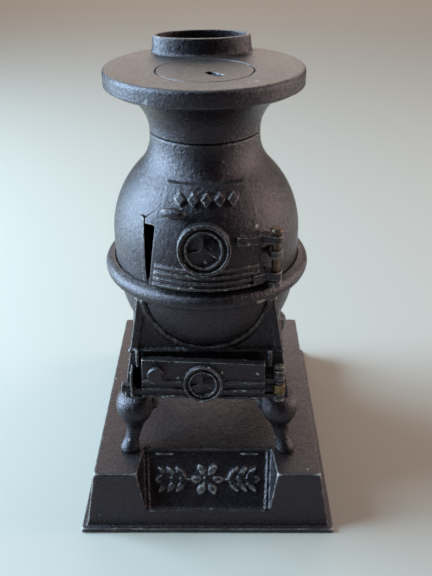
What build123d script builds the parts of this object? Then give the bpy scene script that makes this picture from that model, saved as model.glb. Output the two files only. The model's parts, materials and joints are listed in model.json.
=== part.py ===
from build123d import *
import math
import os

# A cast iron still bank in the shape of a pot-bellied stove on a pedestal.
# Millimetres, +Z up, front towards -Y, origin at the centre of the pedestal's underside.
# Everything above the pedestal is drawn about the stove's own upright axis, then moved to STOVE_Y.
STOVE_Y = -6.0
FIT = 0.05          # radial clearance of a pin or screw in its hole
GAP = 0.3           # air between a moving piece and its neighbours
WALL = 3.0          # thickness of the cast shells

# pedestal
PLATEAU = (90.0, 113.6)     # flat top, width and depth
PED_TOP = 26.2
LIP_TOP = 2.2
SLOPE_RUN = 3.9             # how far the sides lean out between the top and the lip
LIP_RUN = 2.2
PANEL_BACK_Y = -41.0        # where the sloping front panel leaves the flat top
PANEL_FRONT_Y = -59.8       # where it meets the front slope
PANEL_LOW_Z = 8.0
PANEL_HALF = (26.2, 24.6)   # half width of the panel at its top and at its foot
PANEL_CORNER = 2.0
PANEL_DRAFT = 12.0          # lean of the niche's side walls, degrees
PANEL_RIM = (0.4, 1.1)      # inset and width of the raised rim
NICHE_WALL = 1.6            # metal left round the niche's sides
RELIEF = 0.7                # height of the raised ornament on the panel
PETAL = (1.8, 5.0, 3.0)     # start, length and width of a rosette petal
PETALS = 6
EYE_R = 1.6
SPRAY_X = (8.6, 12.2, 15.8) # where the pairs of leaves leave the stem
SPRAY_LEAF = (6.4, 2.4)
SPRAY_TURN = 50             # angle between a leaf and the stem, degrees
STEM = (7.4, 17.4, 0.9)     # two ends and width
TIP_LEAF = (16.6, 5.2, 2.8) # start, length and width
PANEL_BAR = (17.5, -3.0, 7.0, 0.8)      # centre across, centre down the panel, length and width
SINK = 0.2                  # how far raised work is rooted in its casting

# ash pit, a square box that leans in towards its top
PIT_BOTTOM = 51.0
PIT_TOP = 92.0
PIT_HALF = 32.8             # half width at the bottom
PIT_LEAN = 9.1              # lean of the walls, degrees
PIT_WALL = 2.6
PIT_FLOOR = 2.4
PANEL_SINK = 0.8            # how deep the plain panels lie behind the corner posts
POST_WIDTH = 3.2
LEDGE_Z = 70.3
LEDGE_HEIGHT = 1.2
LEDGE_PROUD = 0.7
SADDLE_WIDTH = 1.3
SADDLE_PROUD = 0.9

# fire bowl and its belt
BOWL_R = 35.2
BOWL_CENTRE_Z = 92.0
BOWL_BOTTOM = 60.0
BOWL_TOP = 100.0
BELT_TOP = ((36.4, 101.0), (39.0, 100.1))      # the ledge round the belly's foot
BELT_NOSE = (40.5, 97.2)
BELT_UNDER = ((39.4, 94.6), (BOWL_R, 93.4))
SPIGOT = 2.0                # height of the rings that keep the castings in line
SPIGOT_EDGE = (0.9, 1.2)    # how far the bowl's ring reaches outside and inside the bore
SPIGOT_WALL = 2.4

# belly: a concave arc below the neck, then a convex arc, then an upright foot
NECK_R = 20.5
SEAM_Z = 150.1
NECK_STRAIGHT = 1.8
NECK_ARC_R = 16.0
BELLY_ARC_R = 38.0
BELLY_TURN = 45.0

# top casting
TOP_TURN = 3.3              # the top casting sits a few degrees round on its seam
PLATE_R = 36.0
PLATE_TOP = 172.6
PLATE_SIDE = 5.9
PLATE_EDGE = 1.6
COVE_R = 15.4
COVE_TURN = 80.0
WEB_BOTTOM = 166.4
BOLT_BOSS = (7.0, 3.4)
LID_Y = -7.7
LID_R = 16.9
LID_THICK = 2.5
LIFTER = (8.0, 3.2, 1.6)     # length, width and depth of the slot for the lid lifter
LIFTER_AT = (3.0, -13.8)
LIFTER_TURN = -52.0
LIFTER_BRIDGE = 1.2
COLLAR_Y = 22.4
COLLAR = (18.5, 9.8)       # half length and half width of the oval collar
COLLAR_HEIGHT = 6.4
COLLAR_WALL = 1.7
COLLAR_DRAFT = 6.0
COLLAR_FLOOR = 1.5
COLLAR_FLARE = 0.8          # how far the collar's foot spreads
FLARE_DRAFT = 45.0
COIN_SLOT = (27.0, 3.4)

# upper door, its outline seen from the front as (x, z)
DOOR_SKIN = 2.1
DOOR_OUTLINE = [
    (-12.8, 138.2), (13.6, 138.2), (16.0, 135.8), (17.5, 132.6), (19.5, 124.1), (21.5, 102.4), (-20.2, 102.4),
    (-17.2, 124.9), (-20.9, 124.9), (-20.7, 126.4), (-16.5, 129.9), (-14.8, 131.7), (-13.4, 136.6),
]
FIRE_HOLE = [
    (-8.5, 135.6), (11.0, 135.6), (15.6, 131.5), (17.0, 123.5), (19.0, 104.6), (-21.2, 104.6), (-21.2, 125.0),
]
JAMB_X = (-22.7, -21.2)
JAMB_Z = (102.6, 126.2)
JAMB_PROUD = 1.5
UPPER_RIBS = (103.4, 105.9, 108.4, 110.9)
RIB_HEIGHT = 1.2
RIB_PROUD = 0.8
RIB_FIELD = [(-17.6, 112.2), (19.0, 112.2), (20.2, 102.4), (-19.0, 102.4)]
UPPER_WHEEL_Z = 118.6
UPPER_WHEEL_R = 9.3
UPPER_WHEEL_LEAN = 10.5
WHEEL_ROOT = 3.4
WHEEL_GROOVE_Z = 0.4
WHEEL_STEPS = ((1.0, 0.86, 1.7), (0.74, 0.64, 1.4), (0.66, 0.0, 0.9))     # shares of the radius, then height
WHEEL_HUB = 0.13
WHEEL_VANES = ((4.0, 88.0), (-130.0, 95.0), (102.0, 86.0))     # start and width of each sunk vane, degrees
WHEEL_TILT = -17.0
WHEEL_CLEARING = 0.9        # width of the flat ring round a wheel
ORNAMENT_Z = 134.3
ORNAMENT_X = (-8.3, -3.7, 0.9, 5.5, 10.1)
ORNAMENT_HALF = (1.9, 2.1)  # half width and half height of a diamond
ORNAMENT_PROUD = 0.9
UPPER_KNOB_AT = (-9.8, 129.3)
KNOB_RISE = 0.62            # upward slope of its stem
KNOB_STEM = (1.1, 3.0)      # radius and height
KNOB_FOOT = (1.9, 0.8)
KNOB_BAR = (4.9, 2.1, 1.8)  # three radii of the thumb bar

# upper hinge
UPPER_PIN = (25.3, -31.0)
UPPER_PIN_R = 1.4
UPPER_PIN_Z = (100.9, 122.4)
KNUCKLE_R = 2.7
UPPER_LEAVES = ((118.4, 121.3, 11.5, 1.1), (103.7, 107.1, 17.5, 0.0))   # bottom, top, inner end and its rise
STRAP_PROUD = 1.2
STRAP_END = 21.4
UPPER_LUGS = ((112.6, 115.6), (101.0, 103.3))
UPPER_PIN_HEAD = (2.3, 0.7)
LUG_REACH = 7.5
STRAP_ARM = (168, 6.0)      # direction in degrees from +X and length of a strap's arm

# lower door, drawn on the leaning front wall: u is across, v is up the slope
LOWER_X = -1.0
LOWER_Z = 61.4
LOWER_DOOR = [(-23.8, -8.5), (23.8, -8.5), (23.8, 6.6), (-23.8, 7.7)]
LOWER_TURN = 2.4            # the door's hinge side stands further out than its latch side, degrees
LOWER_FRAME = 1.8           # width of the door's turned-in edge
LOWER_PROUD = 4.6
LOWER_SKIN = 2.2
ASH_HOLE = (40.0, 11.0)
LOWER_RIBS = (-7.7, -4.6, -1.3)
LOWER_RIB = 1.1
LOWER_WHEEL_V = -1.8
LOWER_WHEEL_R = 7.6
LOWER_KNOB_AT = (-18.0, 2.7)
JAMB_BAR = (1.4, 6.8, 2.6)          # width, height and how far it stands out
JAMB_BAR_AT = (25.7, 7.0)

# lower hinge and latch keeper, in the same leaning frame, w outwards
LOWER_PIN = (29.2, 3.5)             # u and w of the pin's axis
LOWER_PIN_R = 1.1
LOWER_PIN_V = (-10.4, 3.9)
LOWER_KNUCKLE_R = 2.4
PIN_HEAD = 0.9
LUG_HALF = 1.5
LOWER_LEAVES = ((-2.4, -0.2), (-9.0, -6.9))
LOWER_LUGS = ((0.1, 3.2), (-10.1, -9.3))
BUSH = (2.5, -6.6, -2.7)            # radius, bottom and top of the brass spacer
KEEPER_U = -27.9
KEEPER_PLATE = (1.1, 6.2, 10.6)     # thickness, stand-out and height
KEEPER_V = -2.2
KEEPER_SLOT = (2.4, 9.6)
KEEPER_PIN_R = 1.1
KEEPER_HEAD = (2.2, 3.6)
KEEPER_PIN_V = -4.4

# legs: height, centre and radii of each section of the front left leg, measured from the stove axis
LEG_SECTIONS = [
    (PED_TOP, 31.6, 35.4, 3.4), (28.0, 31.8, 35.6, 3.8), (30.8, 31.0, 34.6, 3.1), (33.5, 30.2, 33.6, 3.1),
    (37.0, 29.5, 32.6, 3.8), (40.0, 29.2, 31.8, 5.6), (43.0, 29.2, 31.3, 7.2), (46.5, 29.4, 30.8, 7.4),
    (49.5, 29.0, 29.6, 6.8), (PIT_BOTTOM, 28.6, 28.8, 5.5),
]
LEG_LOBES = ((-5.6, 0.6, 3.4), (-0.6, 5.6, 3.4))     # scrolls on the inner side of the knee: x, y and radius
LEG_LOBE_Z = 45.4
LEG_SPIGOT = (2.2, 2.2)

# fasteners
BOLT_R = 2.4
BOLT_HEAD = (4.6, 2.2)
BOLT_TAIL = 1.0
NUT = (4.4, 3.6)
WASHER = (6.2, 1.0)
SCREW_R = 1.6
SCREW_HEAD = (2.8, 1.8)
SCREW_SLOT = (0.9, 0.8)      # width and depth
SCREW_DEPTH = 4.4
SCREW_BOSS = (1.4, 1.6)     # how far the boss is wider than the head, and its height

TALL = 200.0        # longer than anything it cuts
THROUGH = (-8.0, 8.0)       # from inside to outside of the pit's front wall
NICHE_DEPTH = 24.0  # reaches from the panel out past the pedestal's front


def ring(outer, inner, bottom, top):
    """A round tube standing on the axis."""
    return Pos(0, 0, bottom) * extrude(Circle(outer) - Circle(inner), top - bottom)


def rod(radius, bottom, top):
    return Pos(0, 0, bottom) * extrude(Circle(radius), top - bottom)


def frustum(width, depth, bottom, top, lean):
    """An upright block whose four sides lean in by lean degrees."""
    return Pos(0, 0, bottom) * extrude(Rectangle(width, depth), top - bottom, taper=lean)


def revolved(edges, closing):
    """The solid of revolution under a profile: edges run down the outside, closing runs back up the axis."""
    corners = [edges[-1] @ 1, *closing, edges[0] @ 0]
    outline = make_face([*edges, *Polyline(*corners).edges()])
    return revolve(Plane.XZ * outline, Axis.Z)


# ---------------------------------------------------------------- pedestal
def panel_plane():
    """The sloping front panel, seen square on, with its origin at the middle of its upper edge."""
    fall = PED_TOP - PANEL_LOW_Z
    run = PANEL_BACK_Y - PANEL_FRONT_Y
    return Plane(origin=(0, PANEL_BACK_Y, PED_TOP), x_dir=(1, 0, 0), z_dir=(0, -fall, run))


def panel_length():
    return math.hypot(PED_TOP - PANEL_LOW_Z, PANEL_BACK_Y - PANEL_FRONT_Y)


def panel_outline(grow):
    """The panel's rounded trapezium, made larger all round by grow."""
    low = -panel_length() - grow
    top, foot = (half + grow for half in PANEL_HALF)
    face = make_face(Polyline((-top, grow), (top, grow), (foot, low), (-foot, low), close=True).edges())
    return fillet(face.vertices(), PANEL_CORNER)


def leaf(length, width):
    """A pointed leaf made of two arcs, with its stem at the origin and its tip towards +X."""
    upper = ThreePointArc((0, 0), (length / 2, width / 2), (length, 0))
    lower = ThreePointArc((length, 0), (length / 2, -width / 2), (0, 0))
    return make_face([*upper.edges(), *lower.edges()])


def panel_relief():
    """The raised shapes in the panel's own plane: a rim, two bars and a rosette between two sprays."""
    inset, width = PANEL_RIM
    edge = panel_outline(-inset)
    shapes = [edge - offset(edge, -width)]
    across, down, length, thick = PANEL_BAR
    for side in (-1, 1):
        shapes.append(Pos(side * across, down) * Rectangle(length, thick))

    start, length, width = PETAL
    ornament = [Circle(EYE_R)]
    for n in range(PETALS):
        ornament.append(Rot(0, 0, n * 360 / PETALS) * Pos(start, 0) * leaf(length, width))
    near, far, width = STEM
    tip_start, tip_length, tip_width = TIP_LEAF
    for side in (0, 180):
        spray = [Pos((near + far) / 2, 0) * Rectangle(far - near, width)]
        spray.append(Pos(tip_start, 0) * leaf(tip_length, tip_width))
        for x in SPRAY_X:
            for turn in (SPRAY_TURN, -SPRAY_TURN):
                spray.append(Pos(x, 0) * Rot(0, 0, turn) * leaf(*SPRAY_LEAF))
        ornament += [Rot(0, 0, side) * shape for shape in spray]

    middle = Pos(0, -panel_length() / 2)
    return shapes + [middle * shape for shape in ornament]


def pedestal():
    lip_size = [side + 2 * (SLOPE_RUN + LIP_RUN) for side in PLATEAU]
    foot_size = [side + 2 * SLOPE_RUN for side in PLATEAU]
    lean = math.degrees(math.atan2(SLOPE_RUN, PED_TOP - LIP_TOP))
    body = frustum(*foot_size, LIP_TOP, PED_TOP, lean) + extrude(Rectangle(*lip_size), LIP_TOP)

    hollow = frustum(foot_size[0] - 2 * WALL, foot_size[1] - 2 * WALL, 0, PED_TOP - WALL, lean)
    niche = panel_plane() * extrude(panel_outline(0), NICHE_DEPTH, taper=-PANEL_DRAFT)
    backing = extrude(panel_outline(NICHE_WALL), NICHE_DEPTH, taper=-PANEL_DRAFT)
    backing = panel_plane().offset(-WALL) * backing
    body = body - (hollow - backing) - niche

    for shape in panel_relief():
        raised = panel_plane() * Pos(0, 0, -SINK) * extrude(shape, RELIEF + SINK)
        body += raised & level_slice(0, PED_TOP)

    for x, y in foot_places():
        boss = rod(SCREW_HEAD[0] + SCREW_BOSS[0], PED_TOP - WALL - SCREW_BOSS[1], PED_TOP - WALL / 2)
        body += Pos(x, y + STOVE_Y) * boss
        body -= Pos(x, y + STOVE_Y) * rod(SCREW_R + FIT, 0, TALL)
    return body


# ---------------------------------------------------------------- belly, bowl and doors share these shapes
def belly_solid(grow):
    """The solid inside the belly's outer surface, grown outwards by grow, from its foot to the neck seam."""
    start = (NECK_R + grow, SEAM_Z)
    neck = Line(start, (NECK_R + grow, SEAM_Z - NECK_STRAIGHT))
    hollow_arc = JernArc(neck @ 1, (0, -1), NECK_ARC_R - grow, BELLY_TURN)
    round_arc = JernArc(hollow_arc @ 1, hollow_arc % 1, BELLY_ARC_R + grow, -BELLY_TURN)
    foot = Line(round_arc @ 1, ((round_arc @ 1).X, BOWL_TOP))
    edges = [*neck.edges(), *hollow_arc.edges(), *round_arc.edges(), *foot.edges()]
    return revolved(edges, [(0, BOWL_TOP), (0, SEAM_Z)])


def bowl_solid(grow):
    """The solid inside the bowl's outer surface, grown outwards by grow, with a flat foot."""
    radius = BOWL_R + grow
    low = BOWL_BOTTOM - grow
    wall = Line((radius, BOWL_TOP), (radius, BOWL_CENTRE_Z))
    turn = math.degrees(math.asin((BOWL_CENTRE_Z - low) / radius))
    bulge = JernArc(wall @ 1, (0, -1), radius, -turn)
    edges = [*wall.edges(), *bulge.edges()]
    return revolved(edges, [(0, low), (0, BOWL_TOP)])


def front_cut(points):
    """A bar with this outline, seen from the front as (x, z), through the front half of the stove."""
    face = make_face(Polyline(*points, close=True).edges())
    return extrude(Plane.XZ * face, 60.0)


def sector(radius, width):
    """A pie slice from the +X axis round to width degrees."""
    rim = CenterArc((0, 0), radius, 0, width)
    return make_face([Line((0, 0), rim @ 0), rim, Line(rim @ 1, (0, 0))])


def draft_wheel(radius):
    """The cast draft wheel: two rings round a disc with three sunk vanes that slope down anticlockwise.

    It lies on z = 0, and its root goes below.
    """
    disc = Pos(0, 0, -WHEEL_ROOT) * extrude(Circle(radius), WHEEL_ROOT + WHEEL_GROOVE_Z)
    for outer, inner, top in WHEEL_STEPS:
        face = Circle(radius * outer) - Circle(radius * inner) if inner else Circle(radius * outer)
        disc += extrude(face, top)
    reach = radius * WHEEL_STEPS[1][1]
    well = extrude(Circle(reach) - Circle(radius * WHEEL_HUB), WHEEL_ROOT, both=True)
    for start, width in WHEEL_VANES:
        vane = Rot(WHEEL_TILT, 0, 0) * extrude(sector(2 * reach, width), WHEEL_ROOT)
        disc -= well & (Pos(0, 0, WHEEL_STEPS[2][2]) * Rot(0, 0, start) * vane)
    return disc


def knuckle(pin, bottom, top, radius, turn, reach):
    """A hinge knuckle round a pin, with an arm of length reach back to its casting, turn degrees from +X."""
    arm = extrude(Pos(reach / 2, 0) * Rectangle(reach, 1.7 * radius), top - bottom)
    return Pos(*pin) * (rod(radius, bottom, top) + Pos(0, 0, bottom) * Rot(0, 0, turn) * arm)


def fire_bowl():
    nose = ThreePointArc(BELT_TOP[1], BELT_NOSE, BELT_UNDER[0])
    inside = [BELT_UNDER[0], BELT_UNDER[1], (BOWL_R - 2, BELT_UNDER[1][1]), (BOWL_R - 2, BOWL_TOP), *BELT_TOP]
    belt = make_face([nose, *Polyline(*inside).edges()])
    body = bowl_solid(0) + revolve(Plane.XZ * belt, Axis.Z)
    bore = BOWL_R - WALL
    body -= bowl_solid(-WALL) + rod(bore, BOWL_CENTRE_Z, BOWL_TOP + 1)
    body -= rod(BELT_TOP[0][0] + 0.1, BOWL_TOP, BOWL_TOP + 2)
    body += ring(bore + SPIGOT_EDGE[0], bore - SPIGOT_EDGE[1], BOWL_TOP - WALL, BOWL_TOP + SPIGOT)
    body -= rod(BOLT_R + FIT, 0, TALL)
    return body


def belly():
    body = belly_solid(0) - belly_solid(-WALL)
    body -= rod(BOWL_R - WALL + SPIGOT_EDGE[0] + 0.1, BOWL_TOP - 1, BOWL_TOP + SPIGOT + 0.5)
    left, right = JAMB_X
    low, high = JAMB_Z
    jamb = front_cut([(left, low), (right, low), (right, high), (left, high)])
    body += (belly_solid(JAMB_PROUD) - belly_solid(-1)) & jamb
    body -= front_cut(FIRE_HOLE)
    for bottom, top in UPPER_LUGS:
        lug = knuckle(UPPER_PIN, bottom, top, KNUCKLE_R, 90, LUG_REACH)
        body += lug - belly_solid(-1)
    body -= Pos(*UPPER_PIN) * rod(UPPER_PIN_R, UPPER_PIN_Z[0], TALL)
    return body


def upper_door():
    skin = belly_solid(GAP + DOOR_SKIN) - belly_solid(GAP)
    door = skin & front_cut(DOOR_OUTLINE)
    proud = belly_solid(GAP + DOOR_SKIN + RIB_PROUD) - belly_solid(GAP + 1)
    for z in UPPER_RIBS:
        door += proud & front_cut(RIB_FIELD) & level_slice(z - RIB_HEIGHT / 2, z + RIB_HEIGHT / 2)

    centre_y = -(belly_radius(UPPER_WHEEL_Z) + GAP + DOOR_SKIN)
    lean = math.radians(UPPER_WHEEL_LEAN)
    face = Plane((0, centre_y, UPPER_WHEEL_Z), x_dir=(1, 0, 0), z_dir=(0, -math.cos(lean), math.sin(lean)))
    clearing = extrude(Circle(UPPER_WHEEL_R + WHEEL_CLEARING), WHEEL_ROOT)
    door -= face * Pos(0, 0, GAP) * clearing
    door += face * draft_wheel(UPPER_WHEEL_R) - belly_solid(GAP)

    band = belly_solid(GAP + DOOR_SKIN + ORNAMENT_PROUD) - belly_solid(GAP + 1)
    wide, tall = ORNAMENT_HALF
    for x in ORNAMENT_X:
        diamond = [(x - wide, 0), (x, tall), (x + wide, 0), (x, -tall)]
        door += band & Pos(0, 0, ORNAMENT_Z) * front_cut(diamond)

    strap_skin = belly_solid(GAP + DOOR_SKIN + STRAP_PROUD) - belly_solid(2 * GAP)
    for bottom, top, inner, rise in UPPER_LEAVES:
        strap = [(inner, bottom + rise), (STRAP_END, bottom), (STRAP_END, top), (inner, top + rise)]
        door += strap_skin & front_cut(strap)
        door += knuckle(UPPER_PIN, bottom, top, KNUCKLE_R, *STRAP_ARM) - belly_solid(GAP)
    door -= Pos(*UPPER_PIN) * rod(UPPER_PIN_R + FIT, 0, TALL)
    return door - upper_door_knob()


def belly_radius(z):
    """Radius of the belly's outer surface at height z, on its convex arc."""
    turn = math.radians(BELLY_TURN)
    top_z = SEAM_Z - NECK_STRAIGHT - NECK_ARC_R * math.sin(turn)
    widest_z = top_z - BELLY_ARC_R * math.sin(turn)
    widest_r = NECK_R + (NECK_ARC_R + BELLY_ARC_R) * (1 - math.cos(turn))
    return widest_r - BELLY_ARC_R + math.sqrt(BELLY_ARC_R ** 2 - max(z - widest_z, 0) ** 2)


def upper_knob_plane():
    x, z = UPPER_KNOB_AT
    radius = belly_radius(z) + GAP + DOOR_SKIN
    y = -math.sqrt(radius ** 2 - x ** 2)
    return Plane((x, y, z), x_dir=(-y, x, 0), z_dir=(x, y, KNOB_RISE * radius))


def upper_door_knob():
    """A short thumb bar on a stem that is riveted through the door."""
    radius, height = KNOB_STEM
    stem = Pos(0, 0, SINK - DOOR_SKIN) * extrude(Circle(radius), DOOR_SKIN - SINK + height)
    foot_radius, foot_height = KNOB_FOOT
    foot = extrude(Circle(foot_radius), foot_height, taper=8)
    bar = Pos(0, 0, height) * scale(Sphere(1.0), by=KNOB_BAR)
    return upper_knob_plane() * (stem + foot + bar)


def upper_hinge_pin():
    shank = rod(UPPER_PIN_R, *UPPER_PIN_Z)
    radius, height = UPPER_PIN_HEAD
    head = extrude(Circle(radius), height) + Pos(0, 0, height) * extrude(Circle(radius), height, taper=40)
    return Pos(*UPPER_PIN) * (shank + Pos(0, 0, UPPER_PIN_Z[1]) * head)


# ---------------------------------------------------------------- ash pit and lower door
def pit_solid(grow):
    size = 2 * (PIT_HALF + grow)
    return frustum(size, size, PIT_BOTTOM, PIT_TOP, PIT_LEAN)


def pit_plane(grow=0.0):
    """The leaning front wall's outer surface, grown outwards by grow: +X across, +Y up the slope."""
    lean = math.radians(PIT_LEAN)
    y = -(PIT_HALF - (LOWER_Z - PIT_BOTTOM) * math.tan(lean))
    wall = Plane((LOWER_X, y, LOWER_Z), x_dir=(1, 0, 0), z_dir=(0, -math.cos(lean), math.sin(lean)))
    return wall.offset(grow)


def block(u, v, w):
    """A block in the leaning frame between the two limits of each of u, v and w."""
    centre = [(low + high) / 2 for low, high in (u, v, w)]
    sides = [high - low for low, high in (u, v, w)]
    return pit_plane() * Pos(*centre) * Box(*sides)


def bar_across(u, width, v, height, w):
    """A block in the leaning frame about a centre in u and v, between the two limits of w."""
    return block((u - width / 2, u + width / 2), (v - height / 2, v + height / 2), w)


def lower_rod(radius, bottom, top):
    """A rod on the lower hinge's axis, which runs up the slope."""
    u, w = LOWER_PIN
    return pit_plane() * Pos(u, bottom, w) * Rot(-90, 0, 0) * extrude(Circle(radius), top - bottom)


def level_slice(bottom, top):
    return Pos(0, 0, (bottom + top) / 2) * Box(TALL, TALL, top - bottom)


def ash_pit():
    inner = pit_solid(-PIT_WALL)
    cross = 2 * (PIT_HALF - POST_WIDTH)
    between_posts = Part()
    for width, depth in ((cross, TALL), (TALL, cross)):
        between_posts += frustum(width, depth, PIT_BOTTOM, PIT_TOP, PIT_LEAN)
    panels = pit_solid(-PANEL_SINK)
    posts = pit_solid(0) - between_posts
    skirt = pit_solid(0) & level_slice(PIT_BOTTOM, LEDGE_Z)
    ledge = pit_solid(LEDGE_PROUD) & level_slice(LEDGE_Z, LEDGE_Z + LEDGE_HEIGHT)
    rim = pit_solid(SADDLE_PROUD) & bowl_solid(SADDLE_WIDTH)
    floor = pit_solid(-PANEL_SINK) & level_slice(PIT_BOTTOM, PIT_BOTTOM + PIT_FLOOR)
    body = (panels + posts + skirt + ledge + rim - inner) + floor
    body -= bowl_solid(2 * FIT)

    body -= bar_across(0, ASH_HOLE[0], 0, ASH_HOLE[1], THROUGH)
    bar_u, bar_v = JAMB_BAR_AT
    width, height, proud = JAMB_BAR
    for side in (-1, 1):
        body += bar_across(side * bar_u, width, bar_v, height, (-1, proud))

    thick, reach, tall = KEEPER_PLATE
    slot_u = KEEPER_U + thick / 2 + KEEPER_SLOT[0] / 2
    body -= bar_across(slot_u, KEEPER_SLOT[0], KEEPER_V, KEEPER_SLOT[1], THROUGH)
    body += bar_across(KEEPER_U, thick, KEEPER_V, tall, (-1, reach))
    body -= keeper_rod(KEEPER_PIN_R + FIT, *THROUGH)

    u, w = LOWER_PIN
    for bottom, top in LOWER_LUGS:
        body += block((u - LUG_HALF, u + LUG_HALF), (bottom, top), (-1.5, w))
        body += lower_rod(LOWER_KNUCKLE_R, bottom, top)
    body -= lower_rod(LOWER_PIN_R, LOWER_PIN_V[0] - 1, LOWER_PIN_V[1])
    for x, y in leg_tops():
        body -= Pos(x, y) * rod(LEG_SPIGOT[0] + FIT, 0, PIT_BOTTOM + PIT_FLOOR + 1)
    body -= rod(BOLT_R + FIT, 0, TALL)
    return body


def keeper_rod(radius, low, high):
    """A rod along u through the keeper plate, from low to high either side of the plate's middle."""
    w = KEEPER_PLATE[1] / 2 + 0.2
    start = pit_plane() * Pos(KEEPER_U + low, KEEPER_PIN_V, w) * Rot(0, 90, 0)
    return start * extrude(Circle(radius), high - low)


def keeper_pin():
    half = KEEPER_PLATE[0] / 2
    radius, length = KEEPER_HEAD
    return keeper_rod(radius, -half - length, -half) + keeper_rod(KEEPER_PIN_R, -half, half + 0.8)


def door_plane(lift):
    """The lower door's back, raised by lift, in the leaning frame turned about the door's latch edge."""
    edge = LOWER_DOOR[0][0]
    return pit_plane() * Pos(edge, 0, 0) * Rot(0, -LOWER_TURN, 0) * Pos(-edge, 0, lift)


def lower_door():
    left, right = LOWER_DOOR[0][0], LOWER_DOOR[1][0]
    side = LOWER_PROUD - LOWER_SKIN
    outline = make_face(Polyline(*LOWER_DOOR, close=True).edges())
    door = extrude(outline, LOWER_PROUD - GAP) - extrude(offset(outline, -LOWER_FRAME), side - GAP)
    for v in LOWER_RIBS:
        rib = Pos((left + right) / 2, v) * Rectangle(right - left, LOWER_RIB)
        door += Pos(0, 0, side - GAP) * extrude(rib, LOWER_SKIN + RIB_PROUD)
    door = door_plane(GAP) * door

    face = door_plane(LOWER_PROUD) * Pos(0, LOWER_WHEEL_V, 0)
    door -= face * extrude(Circle(LOWER_WHEEL_R + WHEEL_CLEARING), WHEEL_ROOT)
    door += face * draft_wheel(LOWER_WHEEL_R)

    u, w = LOWER_PIN
    for bottom, top in LOWER_LEAVES:
        door += block((right - 1.0, u), (bottom, top), (w - 1.0, w + 1.2))
        door += lower_rod(LOWER_KNUCKLE_R, bottom, top)
    door -= lower_rod(LOWER_PIN_R + FIT, *LOWER_PIN_V)
    return door - lower_door_knob()


def lower_door_knob():
    """A round knob on a neck, riveted through the door."""
    neck = Polyline((0, -LOWER_SKIN), (1.2, -LOWER_SKIN), (1.2, 0), (2.3, 0), (1.6, 1.4))
    cap = Spline((1.6, 1.4), (3.3, 2.6), (2.8, 3.8), (0, 4.4), tangents=[(1, 0.2), (-1, 0)])
    outline = make_face([*neck.edges(), *cap.edges(), Line((0, 4.4), (0, -LOWER_SKIN))])
    knob = revolve(Plane.XZ * outline, Axis.Z)
    return door_plane(LOWER_PROUD) * Pos(*LOWER_KNOB_AT) * knob


def lower_hinge_pin():
    top = LOWER_PIN_V[1]
    return lower_rod(LOWER_PIN_R, *LOWER_PIN_V) + lower_rod(LOWER_KNUCKLE_R - GAP, top, top + PIN_HEAD)


def lower_hinge_bush():
    radius, bottom, top = BUSH
    return lower_rod(radius, bottom, top) - lower_rod(LOWER_PIN_R + FIT, bottom, top)


# ---------------------------------------------------------------- legs
def corners(x, y):
    return [(side * x, end * y) for end in (-1, 1) for side in (-1, 1)]


def foot_places():
    return corners(*LEG_SECTIONS[0][1:3])


def leg_tops():
    return corners(*LEG_SECTIONS[-1][1:3])


def leg(side, end):
    """A cabriole leg: a broad knee under the pit's corner, a slim ankle and a foot that turns out."""
    sections = [(Pos(side * x, end * y, z) * Circle(radius)).face() for z, x, y, radius in LEG_SECTIONS]
    body = loft(sections)
    top_x, top_y = LEG_SECTIONS[-1][1:3]
    for x, y, radius in LEG_LOBES:
        body += Pos(side * (top_x + x), end * (top_y + y), LEG_LOBE_Z) * Sphere(radius)
    body += Pos(side * top_x, end * top_y) * rod(LEG_SPIGOT[0], PIT_BOTTOM - 1, PIT_BOTTOM + LEG_SPIGOT[1])
    foot_x, foot_y = LEG_SECTIONS[0][1:3]
    body -= Pos(side * foot_x, end * foot_y) * rod(SCREW_R + FIT, 0, PED_TOP + SCREW_DEPTH + 0.4)
    return body


def foot_screws():
    """Four screws up through the pedestal into the feet, as one group."""
    under = PED_TOP - WALL - SCREW_BOSS[1]
    radius, height = SCREW_HEAD
    screw = rod(SCREW_R, under, PED_TOP + SCREW_DEPTH) + rod(radius, under - height, under)
    slot = Box(2 * radius + 1, SCREW_SLOT[0], 2 * SCREW_SLOT[1])
    screw -= Pos(0, 0, under - height) * slot
    return Part() + [Pos(x, y) * screw for x, y in foot_places()]


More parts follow.
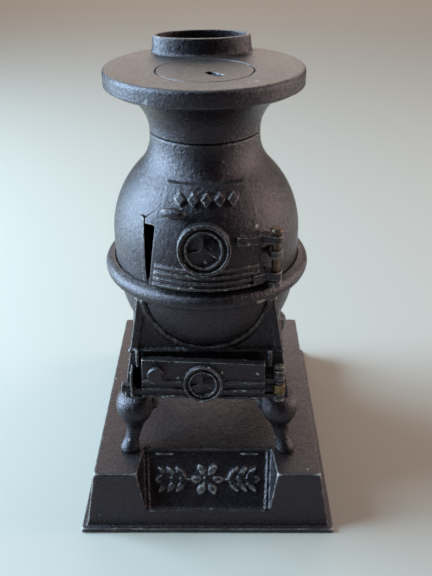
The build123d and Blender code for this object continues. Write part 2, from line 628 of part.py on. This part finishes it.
# ---------------------------------------------------------------- top casting and lid
def top_casting():
    cove = JernArc((NECK_R, SEAM_Z), (0, 1), COVE_R, -COVE_TURN)
    under = Line(cove @ 1, (PLATE_R, PLATE_TOP - PLATE_SIDE))
    side = Line(under @ 1, (PLATE_R, PLATE_TOP - PLATE_EDGE))
    brim = JernArc(side @ 1, (0, 1), PLATE_EDGE, 90)
    flat = Line(brim @ 1, (0, PLATE_TOP))
    edges = [*cove.edges(), *under.edges(), *side.edges(), *brim.edges(), *flat.edges()]
    body = revolved(edges, [(0, SEAM_Z)])

    bore = NECK_R - WALL
    turn = math.degrees(math.asin((WEB_BOTTOM - SEAM_Z) / (COVE_R + WALL)))
    throat = Line((bore, SEAM_Z - 1), (bore, SEAM_Z))
    vault = JernArc(throat @ 1, (0, 1), COVE_R + WALL, -turn)
    ceiling = Line(vault @ 1, (0, WEB_BOTTOM))
    body -= revolved([*throat.edges(), *vault.edges(), *ceiling.edges()], [(0, SEAM_Z - 1)])
    body += ring(bore + 1, bore - SPIGOT_WALL, SEAM_Z, SEAM_Z + WALL)
    body += ring(bore - 0.2, bore - SPIGOT_WALL, SEAM_Z - 2 * SPIGOT, SEAM_Z + WALL)
    body += rod(BOLT_BOSS[0], WEB_BOTTOM - BOLT_BOSS[1], WEB_BOTTOM + 1)

    length, width = COLLAR
    spread = COLLAR_HEIGHT * math.tan(math.radians(COLLAR_DRAFT))
    base = Pos(0, COLLAR_Y, PLATE_TOP)
    body += base * extrude(Ellipse(length + spread, width + spread), COLLAR_HEIGHT, taper=COLLAR_DRAFT)
    flare = Ellipse(length + spread + COLLAR_FLARE, width + spread + COLLAR_FLARE)
    body += base * extrude(flare, 2 * COLLAR_FLARE, taper=FLARE_DRAFT)
    bowl = Ellipse(length - COLLAR_WALL, width - COLLAR_WALL)
    body -= base * Pos(0, 0, -COLLAR_FLOOR) * extrude(bowl, COLLAR_HEIGHT + 2 * COLLAR_FLOOR)
    body -= base * Box(*COIN_SLOT, 3 * WALL + PLATE_SIDE)

    body -= Pos(0, LID_Y) * rod(LID_R + GAP, PLATE_TOP - LID_THICK - GAP, TALL)
    body -= rod(BOLT_HEAD[0] + GAP, bolt_seat(), TALL)
    body -= rod(BOLT_R + FIT, 0, TALL)
    return Rot(0, 0, TOP_TURN) * body


def bolt_seat():
    return PLATE_TOP - LID_THICK - BOLT_HEAD[1] - 2 * GAP


def stove_lid():
    """The round lid, with a pocket across which a bridge is left for the lifter's hook."""
    length, width, depth = LIFTER
    pocket = Pos(0, 0, -depth) * extrude(SlotOverall(length, width), 2 * depth)
    bridge = Pos(0, 0, -depth) * Box(LIFTER_BRIDGE, width, depth)
    lid = Pos(0, LID_Y) * rod(LID_R, PLATE_TOP - LID_THICK, PLATE_TOP)
    lid -= Pos(*LIFTER_AT, PLATE_TOP) * Rot(0, 0, LIFTER_TURN) * (pocket - bridge)
    return Rot(0, 0, TOP_TURN) * lid


# ---------------------------------------------------------------- centre bolt
def centre_bolt():
    end = PIT_BOTTOM - WASHER[1] - NUT[1] - BOLT_TAIL
    return rod(BOLT_R, end, bolt_seat()) + rod(BOLT_HEAD[0], bolt_seat(), bolt_seat() + BOLT_HEAD[1])


def bolt_washer():
    return ring(WASHER[0], BOLT_R + FIT, PIT_BOTTOM - WASHER[1], PIT_BOTTOM)


def bolt_nut():
    size, height = NUT
    top = PIT_BOTTOM - WASHER[1]
    face = RegularPolygon(size, 6, major_radius=False) - Circle(BOLT_R + FIT)
    return Pos(0, 0, top - height) * extrude(face, height)


# ---------------------------------------------------------------- write every piece
def stove_pieces():
    pieces = {
        "ash_pit": ash_pit(),
        "fire_bowl": fire_bowl(),
        "belly": belly(),
        "top_casting": top_casting(),
        "stove_lid": stove_lid(),
        "upper_door": upper_door(),
        "upper_door_knob": upper_door_knob(),
        "upper_hinge_pin": upper_hinge_pin(),
        "lower_door": lower_door(),
        "lower_door_knob": lower_door_knob(),
        "lower_hinge_pin": lower_hinge_pin(),
        "lower_hinge_bush": lower_hinge_bush(),
        "keeper_pin": keeper_pin(),
        "centre_bolt": centre_bolt(),
        "bolt_washer": bolt_washer(),
        "bolt_nut": bolt_nut(),
        "foot_screws": foot_screws(),
    }
    for end, end_name in ((-1, "front"), (1, "rear")):
        for side, side_name in ((-1, "left"), (1, "right")):
            pieces[f"leg_{end_name}_{side_name}"] = leg(side, end)
    return pieces


os.makedirs("parts", exist_ok=True)
export_step(pedestal(), "parts/pedestal.step")
for name, piece in stove_pieces().items():
    export_step(Pos(0, STOVE_Y) * piece, f"parts/{name}.step")
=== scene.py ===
import json
import math

import bpy
from mathutils import Matrix, Vector

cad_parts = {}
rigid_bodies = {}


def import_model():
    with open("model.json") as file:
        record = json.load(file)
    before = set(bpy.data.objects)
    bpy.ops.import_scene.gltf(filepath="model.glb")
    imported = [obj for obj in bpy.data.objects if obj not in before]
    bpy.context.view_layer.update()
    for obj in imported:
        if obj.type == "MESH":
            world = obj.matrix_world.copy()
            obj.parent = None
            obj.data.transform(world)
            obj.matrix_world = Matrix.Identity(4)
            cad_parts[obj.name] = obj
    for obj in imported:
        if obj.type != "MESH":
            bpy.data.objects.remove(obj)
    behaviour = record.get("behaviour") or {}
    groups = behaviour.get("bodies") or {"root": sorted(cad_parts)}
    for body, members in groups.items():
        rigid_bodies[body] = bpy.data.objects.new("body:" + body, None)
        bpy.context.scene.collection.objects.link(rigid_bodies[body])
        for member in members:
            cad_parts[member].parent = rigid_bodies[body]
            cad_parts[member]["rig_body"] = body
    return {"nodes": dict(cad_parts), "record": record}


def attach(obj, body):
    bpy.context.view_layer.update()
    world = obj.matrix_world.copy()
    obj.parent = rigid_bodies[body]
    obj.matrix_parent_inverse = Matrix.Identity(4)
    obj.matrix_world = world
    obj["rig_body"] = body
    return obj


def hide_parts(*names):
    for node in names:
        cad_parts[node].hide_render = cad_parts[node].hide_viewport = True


# A cast iron stove bank: worn black enamel over rough castings, on a plain pale floor.
# Metres and the CAD's frame throughout: +Z up, the doors face -Y, the origin is under the pedestal.
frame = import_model()
nodes = frame["nodes"]
slot_of = {entry["node"]: entry["material_slot"] for entry in frame["record"]["subparts"]}
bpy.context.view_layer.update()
scene = bpy.context.scene
MM = 0.001
STOVE_AXIS = Vector((0, -6.0 * MM, 0))

# camera
CAMERA_AT = (6.52 * MM, -258.35 * MM, 228.05 * MM)
CAMERA_HEADING = 0.661      # degrees towards +X
CAMERA_DOWN = 30.108
CAMERA_ROLL = -0.450
SENSOR_MM = 24.0
LENS_MM = 29.167
CLIP_START = 0.01

# stage: the floor's half width in metres, and its colour and roughness
FLOOR_REACH = 4.0
FLOOR_COLOUR = (0.36, 0.315, 0.275, 1)
FLOOR_ROUGHNESS = 0.8

# lights: place and aim in metres, width and height, power in watts, colour
LIGHTS = {
    "window_left": ((-0.75, 0.06, 0.38), (0, 0, 0.11), (0.55, 0.9), 42.0, (0.52, 0.80, 1.0)),
    "back_wall": ((0.05, 1.80, 1.05), (0, 0, 0.15), (2.6, 1.4), 24.0, (1.0, 0.87, 0.76)),
    "overhead": ((0.1, 0.1, 1.0), (0, 0, 0), (0.9, 0.9), 1.2, (1.0, 0.95, 0.90)),
    "right_fill": ((0.8, 0.1, 0.3), (0, 0, 0.12), (0.4, 0.7), 6.5, (1.0, 0.88, 0.82)),
}
ROOM_COLOUR = (0.80, 0.78, 0.75, 1)
ROOM_STRENGTH = 0.03

# castings: voxel size in mm, smoothing passes and the largest number of faces
CASTINGS = {
    "pedestal": (0.38, 3, 110000),
    "ash_pit": (0.32, 4, 90000),
    "fire_bowl": (0.40, 4, 60000),
    "belly": (0.30, 3, 90000),
    "top_casting": (0.30, 3, 100000),
    "stove_lid": (0.25, 3, 20000),
    "upper_door": (0.22, 3, 80000),
    "lower_door": (0.22, 3, 70000),
    "upper_door_knob": (0.16, 3, 6000),
    "lower_door_knob": (0.16, 3, 6000),
    "keeper_pin": (0.16, 3, 4000),
    "leg_front_left": (0.28, 4, 16000),
    "leg_front_right": (0.28, 4, 16000),
    "leg_rear_left": (0.28, 4, 16000),
    "leg_rear_right": (0.28, 4, 16000),
}
SMALL_PARTS = {
    "upper_hinge_pin": (0.14, 2, 8000),
    "lower_hinge_pin": (0.14, 2, 8000),
    "lower_hinge_bush": (0.14, 2, 8000),
    "centre_bolt": (0.22, 2, 16000),
    "bolt_washer": (0.16, 2, 6000),
    "bolt_nut": (0.16, 2, 6000),
    "foot_screws": (0.20, 2, 16000),
}
LUMPS = (7.0, 0.10)         # size and depth in mm of a casting's slow unevenness
PITS = (1.1, 0.09)          # size and depth in mm of its sand-cast skin
SMOOTH_FACTOR = 0.5
WELD_GAP = 0.001 * MM

# the groove where the top casting sits on the belly's neck
SEAM_CASTINGS = ("belly", "top_casting")
SEAM_Z = 150.1 * MM
SEAM_HALF = 0.4 * MM
SEAM_DEPTH = 0.5 * MM
NECK_R = 20.5 * MM
NECK_INNER = 18.0 * MM      # radius inside which nothing moves


# ---------------------------------------------------------------- meshes
def clouds(name, size):
    texture = bpy.data.textures.new(name, "CLOUDS")
    texture.noise_scale = size * MM
    texture.noise_depth = 2
    return texture


LUMP_TEXTURE = clouds("casting_lumps", LUMPS[0])
PIT_TEXTURE = clouds("casting_pits", PITS[0])


def press_in(piece, texture, depth):
    """Pushes the surface inwards by up to depth mm, never outwards."""
    modifier = piece.modifiers.new(texture.name, "DISPLACE")
    modifier.texture = texture
    modifier.texture_coords = "LOCAL"
    modifier.mid_level = 1.0
    modifier.strength = depth * MM


def cut_seam(piece):
    """Draws the skin in beside the neck seam, so that the two castings meet in a groove."""
    for vertex in piece.data.vertices:
        near = 1 - abs(vertex.co.z - SEAM_Z) / SEAM_HALF
        outwards = vertex.co - STOVE_AXIS
        outwards.z = 0
        share = (outwards.length - NECK_INNER) / (NECK_R - NECK_INNER)
        if near > 0 and share > 0:
            vertex.co -= outwards.normalized() * SEAM_DEPTH * near * min(share, 1)


def cast(node, voxel, passes, faces, rough):
    """A copy of a CAD node with the rounded edges of a casting, and if rough its uneven skin."""
    source = nodes[node]
    piece = bpy.data.objects.new(node + "_cast", source.data.copy())
    scene.collection.objects.link(piece)
    weld = piece.modifiers.new("weld", "WELD")
    weld.merge_threshold = WELD_GAP
    remesh = piece.modifiers.new("remesh", "REMESH")
    remesh.mode = "VOXEL"
    remesh.voxel_size = voxel * MM
    smooth = piece.modifiers.new("smooth", "SMOOTH")
    smooth.factor = SMOOTH_FACTOR
    smooth.iterations = passes
    if rough:
        press_in(piece, LUMP_TEXTURE, LUMPS[1])
        press_in(piece, PIT_TEXTURE, PITS[1])
    apply_modifiers(piece)
    if node in SEAM_CASTINGS:
        cut_seam(piece)
    if len(piece.data.polygons) > faces / 2:
        thin = piece.modifiers.new("thin", "DECIMATE")
        thin.ratio = min(1.0, faces / (2 * len(piece.data.polygons)))
        apply_modifiers(piece)
    for polygon in piece.data.polygons:
        polygon.use_smooth = True
    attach(piece, source["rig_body"])
    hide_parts(node)
    return piece


def apply_modifiers(piece):
    """Bakes the modifiers into the mesh."""
    graph = bpy.context.evaluated_depsgraph_get()
    mesh = bpy.data.meshes.new_from_object(piece.evaluated_get(graph))
    piece.modifiers.clear()
    piece.data = mesh


# ---------------------------------------------------------------- materials
class Shader:
    """A node tree with short calls for the nodes these materials use."""

    def __init__(self, name):
        self.material = bpy.data.materials.new(name)
        self.material.use_nodes = True
        self.tree = self.material.node_tree
        self.surface = self.tree.nodes["Principled BSDF"]
        self.place = self.new("ShaderNodeTexCoord").outputs["Object"]
        self.geometry = self.new("ShaderNodeNewGeometry")

    def new(self, kind, **settings):
        node = self.tree.nodes.new(kind)
        for key, value in settings.items():
            setattr(node, key, value)
        return node

    def feed(self, socket, value):
        if isinstance(value, bpy.types.NodeSocket):
            self.tree.links.new(value, socket)
        else:
            socket.default_value = value

    def noise(self, size, detail=3.0, roughness=0.55):
        """Noise whose largest lumps are about size mm across, from 0 to 1."""
        texture = self.new("ShaderNodeTexNoise")
        self.feed(texture.inputs["Vector"], self.place)
        texture.inputs["Scale"].default_value = 1 / (size * MM)
        texture.inputs["Detail"].default_value = detail
        texture.inputs["Roughness"].default_value = roughness
        return texture.outputs["Fac"]

    def ramp(self, value, low, high, start=0.0, end=1.0):
        """value between low and high, spread smoothly from start to end."""
        node = self.new("ShaderNodeMapRange", interpolation_type="SMOOTHSTEP")
        self.feed(node.inputs["Value"], value)
        for socket, number in (("From Min", low), ("From Max", high), ("To Min", start), ("To Max", end)):
            node.inputs[socket].default_value = number
        return node.outputs["Result"]

    def math(self, operation, a, b=0.0):
        node = self.new("ShaderNodeMath", operation=operation)
        self.feed(node.inputs[0], a)
        self.feed(node.inputs[1], b)
        return node.outputs["Value"]

    def mix(self, share, a, b):
        """Colour a where share is 0 and colour b where it is 1."""
        node = self.new("ShaderNodeMix", data_type="RGBA")
        self.feed(node.inputs["Factor"], share)
        self.feed(node.inputs["A"], a)
        self.feed(node.inputs["B"], b)
        return node.outputs["Result"]

    def specks(self, cell, radius, share):
        """Small dots of dirt, cell mm apart and radius mm across, in share of the cells."""
        texture = self.new("ShaderNodeTexVoronoi")
        self.feed(texture.inputs["Vector"], self.place)
        texture.inputs["Scale"].default_value = 1 / (cell * MM)
        dots = self.ramp(texture.outputs["Distance"], radius / cell * 0.6, radius / cell, 1.0, 0.0)
        split = self.new("ShaderNodeSeparateColor")
        self.feed(split.inputs["Color"], texture.outputs["Color"])
        return self.math("MULTIPLY", dots, self.math("LESS_THAN", split.outputs["Red"], share))

    def bump(self, heights, distance):
        """Bump from (height, strength) pairs, one over the other."""
        normal = None
        for height, strength in heights:
            node = self.new("ShaderNodeBump")
            node.inputs["Strength"].default_value = strength
            node.inputs["Distance"].default_value = distance * MM
            self.feed(node.inputs["Height"], height)
            if normal is not None:
                self.feed(node.inputs["Normal"], normal)
            normal = node.outputs["Normal"]
        self.feed(self.surface.inputs["Normal"], normal)


ENAMEL_BROWN = (0.0060, 0.0030, 0.0042, 1)
ENAMEL_BLUE = (0.0034, 0.0026, 0.0042, 1)
DUST_AND_SHEEN = (0.130, 0.114, 0.100, 1)
WORN_AND_HIGHLIGHT = (0.460, 0.410, 0.370, 1)
GRAIN = (0.026, 0.021, 0.022, 1)
SPECK = (0.42, 0.40, 0.37, 1)

# the iron's patterns: sizes in mm, then ranges of the noise, the edges or the gloss
TONE_PATCH = 22.0
DUST_AND_SHEEN_PATCH = 5.0
WEAR_AND_HIGHLIGHT_PATCH = 1.8
GLOSS_PATCH = 1.1
GRAIN_SIZE = 0.55
GRAIN_SHARE = 0.40
SPECK_CELL = 5.5
SPECK_RADIUS = 0.35
SPECK_SHARE = 0.7
FACING_UP = (0.45, 0.98)        # how far a surface faces up before dust and a painted sheen lie on it
PROUD_EDGES = (0.512, 0.560)    # the range of Pointiness that wears bright and takes a painted highlight
GLOSS = (0.20, 0.36)
DUSTY_GLOSS = 0.16              # how much dust adds to the roughness
TONE_RANGE = (0.35, 0.65)
DUST_AND_SHEEN_RANGE = (0.30, 0.70, 0.55, 1.0)    # noise from and to, then the share of dust and painted sheen from and to
WEAR_AND_HIGHLIGHT_RANGE = (0.34, 0.60, 0.30, 1.0)
GRAIN_RANGE = (0.52, 0.66)
GLOSS_RANGE = (0.25, 0.75)
MOTTLE = (4.0, 0.65)            # detail and roughness of the noise, from soft to harsh
HARSH = (4.0, 0.70)
SCRAPED = (4.0, 0.75)
SKIN_FINE = (1.0, 1.0)          # the cast skin's bumps: size in mm and strength
SKIN_BROAD = (2.8, 0.50)
IRON_SPECULAR = 0.52
# painted reflection: a warm purple-brown tint laid on the iron's reflections, standing in for warm
# surroundings
PAINTED_REFLECTION_TINT = (1.0, 0.82, 0.94, 1)

# the bare metals' patterns
TARNISH_PATCH = 1.6
TARNISH_RANGE = (0.35, 0.70)
HOLLOWS = (0.40, 0.50)          # the range of Pointiness that stays tarnished
POLISH_PATCH = 0.7
POLISH_RANGE = (0.3, 0.7)
POLISH_SPREAD = (-0.08, 0.10)   # how far the roughness strays from its middle
SCRATCH = (0.35, 0.3, 0.05)     # size in mm, strength, and depth in mm
METALLIC = 0.85


def iron(name, dust_and_sheen, specks=0.10, wear_and_highlight=0.90, skin=0.34):
    """Worn black enamel on cast iron.

    dust lightens what faces up, with dust and a painted sheen, and wear lightens what stands out, with wear
    and a painted highlight, but not the lips of the neck seam. specks is the share of the surface with
    specks of dirt, and skin the depth of the sand-cast texture in mm.
    """
    s = Shader(name)
    tone = s.mix(s.ramp(s.noise(TONE_PATCH), *TONE_RANGE), ENAMEL_BROWN, ENAMEL_BLUE)
    split = s.new("ShaderNodeSeparateXYZ")
    s.feed(split.inputs["Vector"], s.geometry.outputs["Normal"])
    upward = s.ramp(split.outputs["Z"], *FACING_UP)
    patchy = s.ramp(s.noise(DUST_AND_SHEEN_PATCH, *MOTTLE), *DUST_AND_SHEEN_RANGE)
    # painted sheen: faces that point up are lightened in one colour, partly dust and partly a painted sheen
    dust_and_sheen_share = s.math("MULTIPLY", s.math("MULTIPLY", upward, patchy), dust_and_sheen)
    colour = s.mix(dust_and_sheen_share, tone, DUST_AND_SHEEN)
    edges = s.ramp(s.geometry.outputs["Pointiness"], *PROUD_EDGES)
    rubbed_and_highlit = s.math("MULTIPLY", edges, s.ramp(s.noise(WEAR_AND_HIGHLIGHT_PATCH, *SCRAPED), *WEAR_AND_HIGHLIGHT_RANGE))
    place = s.new("ShaderNodeSeparateXYZ")
    s.feed(place.inputs["Vector"], s.place)
    from_seam = s.math("ABSOLUTE", s.math("SUBTRACT", place.outputs["Z"], SEAM_Z))
    rubbed_and_highlit = s.math("MULTIPLY", rubbed_and_highlit, s.ramp(from_seam, SEAM_HALF, 2 * SEAM_HALF))
    # painted highlight: proud edges are lightened in one colour, partly wear and partly a painted highlight
    colour = s.mix(s.math("MULTIPLY", rubbed_and_highlit, wear_and_highlight), colour, WORN_AND_HIGHLIGHT)
    grain = s.ramp(s.noise(GRAIN_SIZE, roughness=0.7), *GRAIN_RANGE, 0.0, GRAIN_SHARE)
    colour = s.mix(grain, colour, GRAIN)
    dots = s.specks(SPECK_CELL, SPECK_RADIUS, specks)
    colour = s.mix(s.math("MULTIPLY", dots, SPECK_SHARE), colour, SPECK)
    s.feed(s.surface.inputs["Base Color"], colour)
    gloss = s.ramp(s.noise(GLOSS_PATCH, *HARSH), *GLOSS_RANGE, *GLOSS)
    gloss = s.math("ADD", gloss, s.math("MULTIPLY", dust_and_sheen_share, DUSTY_GLOSS))
    s.feed(s.surface.inputs["Roughness"], gloss)
    s.surface.inputs["Specular IOR Level"].default_value = IRON_SPECULAR
    s.surface.inputs["Specular Tint"].default_value = PAINTED_REFLECTION_TINT
    fine, fine_strength = SKIN_FINE
    broad, broad_strength = SKIN_BROAD
    s.bump([(s.noise(fine, *SCRAPED), fine_strength), (s.noise(broad, roughness=0.6), broad_strength)], skin)
    return s.material


def metal(name, colour, tarnish, roughness):
    """Bare metal, dulled by a darker tarnish in its hollows."""
    s = Shader(name)
    patches = s.ramp(s.noise(TARNISH_PATCH, *HARSH), *TARNISH_RANGE)
    hollow = s.ramp(s.geometry.outputs["Pointiness"], *HOLLOWS, 1.0, 0.0)
    s.feed(s.surface.inputs["Base Color"], s.mix(s.math("MAXIMUM", patches, hollow), colour, tarnish))
    s.surface.inputs["Metallic"].default_value = METALLIC
    least, most = (roughness + spread for spread in POLISH_SPREAD)
    s.feed(s.surface.inputs["Roughness"], s.ramp(s.noise(POLISH_PATCH), *POLISH_RANGE, least, most))
    size, strength, depth = SCRATCH
    s.bump([(s.noise(size), strength)], depth)
    return s.material


base_iron = iron("base_iron", dust_and_sheen=0.07, specks=0.34, skin=0.22)
stove_iron = iron("stove_iron", dust_and_sheen=0.12, wear_and_highlight=0.65)
top_iron = iron("top_iron", dust_and_sheen=0.28, specks=0.06, wear_and_highlight=0.45)
door_iron = iron("door_iron", dust_and_sheen=0.12, specks=0.05, wear_and_highlight=1.0)
SLOT_MATERIALS = {
    "dark_bronze": metal("dark_bronze", (0.130, 0.083, 0.058, 1), (0.045, 0.028, 0.020, 1), 0.46),
    "brass": metal("brass", (0.21, 0.135, 0.064, 1), (0.075, 0.046, 0.024, 1), 0.44),
    "dull_steel": metal("dull_steel", (0.22, 0.20, 0.18, 1), (0.060, 0.050, 0.042, 1), 0.50),
}
IRON_MATERIALS = {
    "pedestal": base_iron,
    "top_casting": top_iron,
    "stove_lid": top_iron,
    "upper_door": door_iron,
    "lower_door": door_iron,
}

for node, (voxel, passes, faces) in {**CASTINGS, **SMALL_PARTS}.items():
    piece = cast(node, voxel, passes, faces, rough=node in CASTINGS)
    piece.data.materials.clear()
    piece.data.materials.append(SLOT_MATERIALS.get(slot_of[node], IRON_MATERIALS.get(node, stove_iron)))


# ---------------------------------------------------------------- stage, light and camera
def stage_floor():
    mesh = bpy.data.meshes.new("floor")
    corners = [(x * FLOOR_REACH, y * FLOOR_REACH, 0) for x, y in ((-1, -1), (1, -1), (1, 1), (-1, 1))]
    mesh.from_pydata(corners, [], [(0, 1, 2, 3)])
    floor = bpy.data.objects.new("floor", mesh)
    scene.collection.objects.link(floor)
    material = bpy.data.materials.new("floor")
    material.use_nodes = True
    surface = material.node_tree.nodes["Principled BSDF"]
    surface.inputs["Base Color"].default_value = FLOOR_COLOUR
    surface.inputs["Roughness"].default_value = FLOOR_ROUGHNESS
    mesh.materials.append(material)


def softbox(name, at, aim, size, power, colour):
    """A soft square light at a place, turned towards another."""
    light = bpy.data.lights.new(name, "AREA")
    light.shape = "RECTANGLE"
    light.size, light.size_y = size
    light.energy = power
    light.color = colour
    lamp = bpy.data.objects.new(name, light)
    lamp.location = at
    lamp.rotation_euler = (Vector(aim) - Vector(at)).to_track_quat("-Z", "Y").to_euler()
    lamp.visible_camera = False
    scene.collection.objects.link(lamp)


def camera():
    heading, down, roll = (math.radians(a) for a in (CAMERA_HEADING, CAMERA_DOWN, CAMERA_ROLL))
    level = Vector((-math.sin(heading), math.cos(heading), 0))
    forward = level * math.cos(down) - Vector((0, 0, math.sin(down)))
    right = forward.cross(Vector((0, 0, 1))).normalized()
    up = right.cross(forward)
    turned_right = right * math.cos(roll) + up * math.sin(roll)
    turned_up = up * math.cos(roll) - right * math.sin(roll)
    data = bpy.data.cameras.new("camera")
    data.sensor_fit = "VERTICAL"
    data.sensor_height = SENSOR_MM
    data.lens = LENS_MM
    data.clip_start = CLIP_START
    shooter = bpy.data.objects.new("camera", data)
    axes = Matrix((turned_right, turned_up, -forward)).transposed().to_4x4()
    shooter.matrix_world = Matrix.Translation(CAMERA_AT) @ axes
    scene.collection.objects.link(shooter)
    scene.camera = shooter


stage_floor()
camera()
for name, (at, aim, size, power, colour) in LIGHTS.items():
    softbox(name, at, aim, size, power, colour)

world = bpy.data.worlds.new("room")
world.use_nodes = True
world.node_tree.nodes["Background"].inputs["Color"].default_value = ROOM_COLOUR
world.node_tree.nodes["Background"].inputs["Strength"].default_value = ROOM_STRENGTH
scene.world = world
scene.view_settings.view_transform = "Standard"
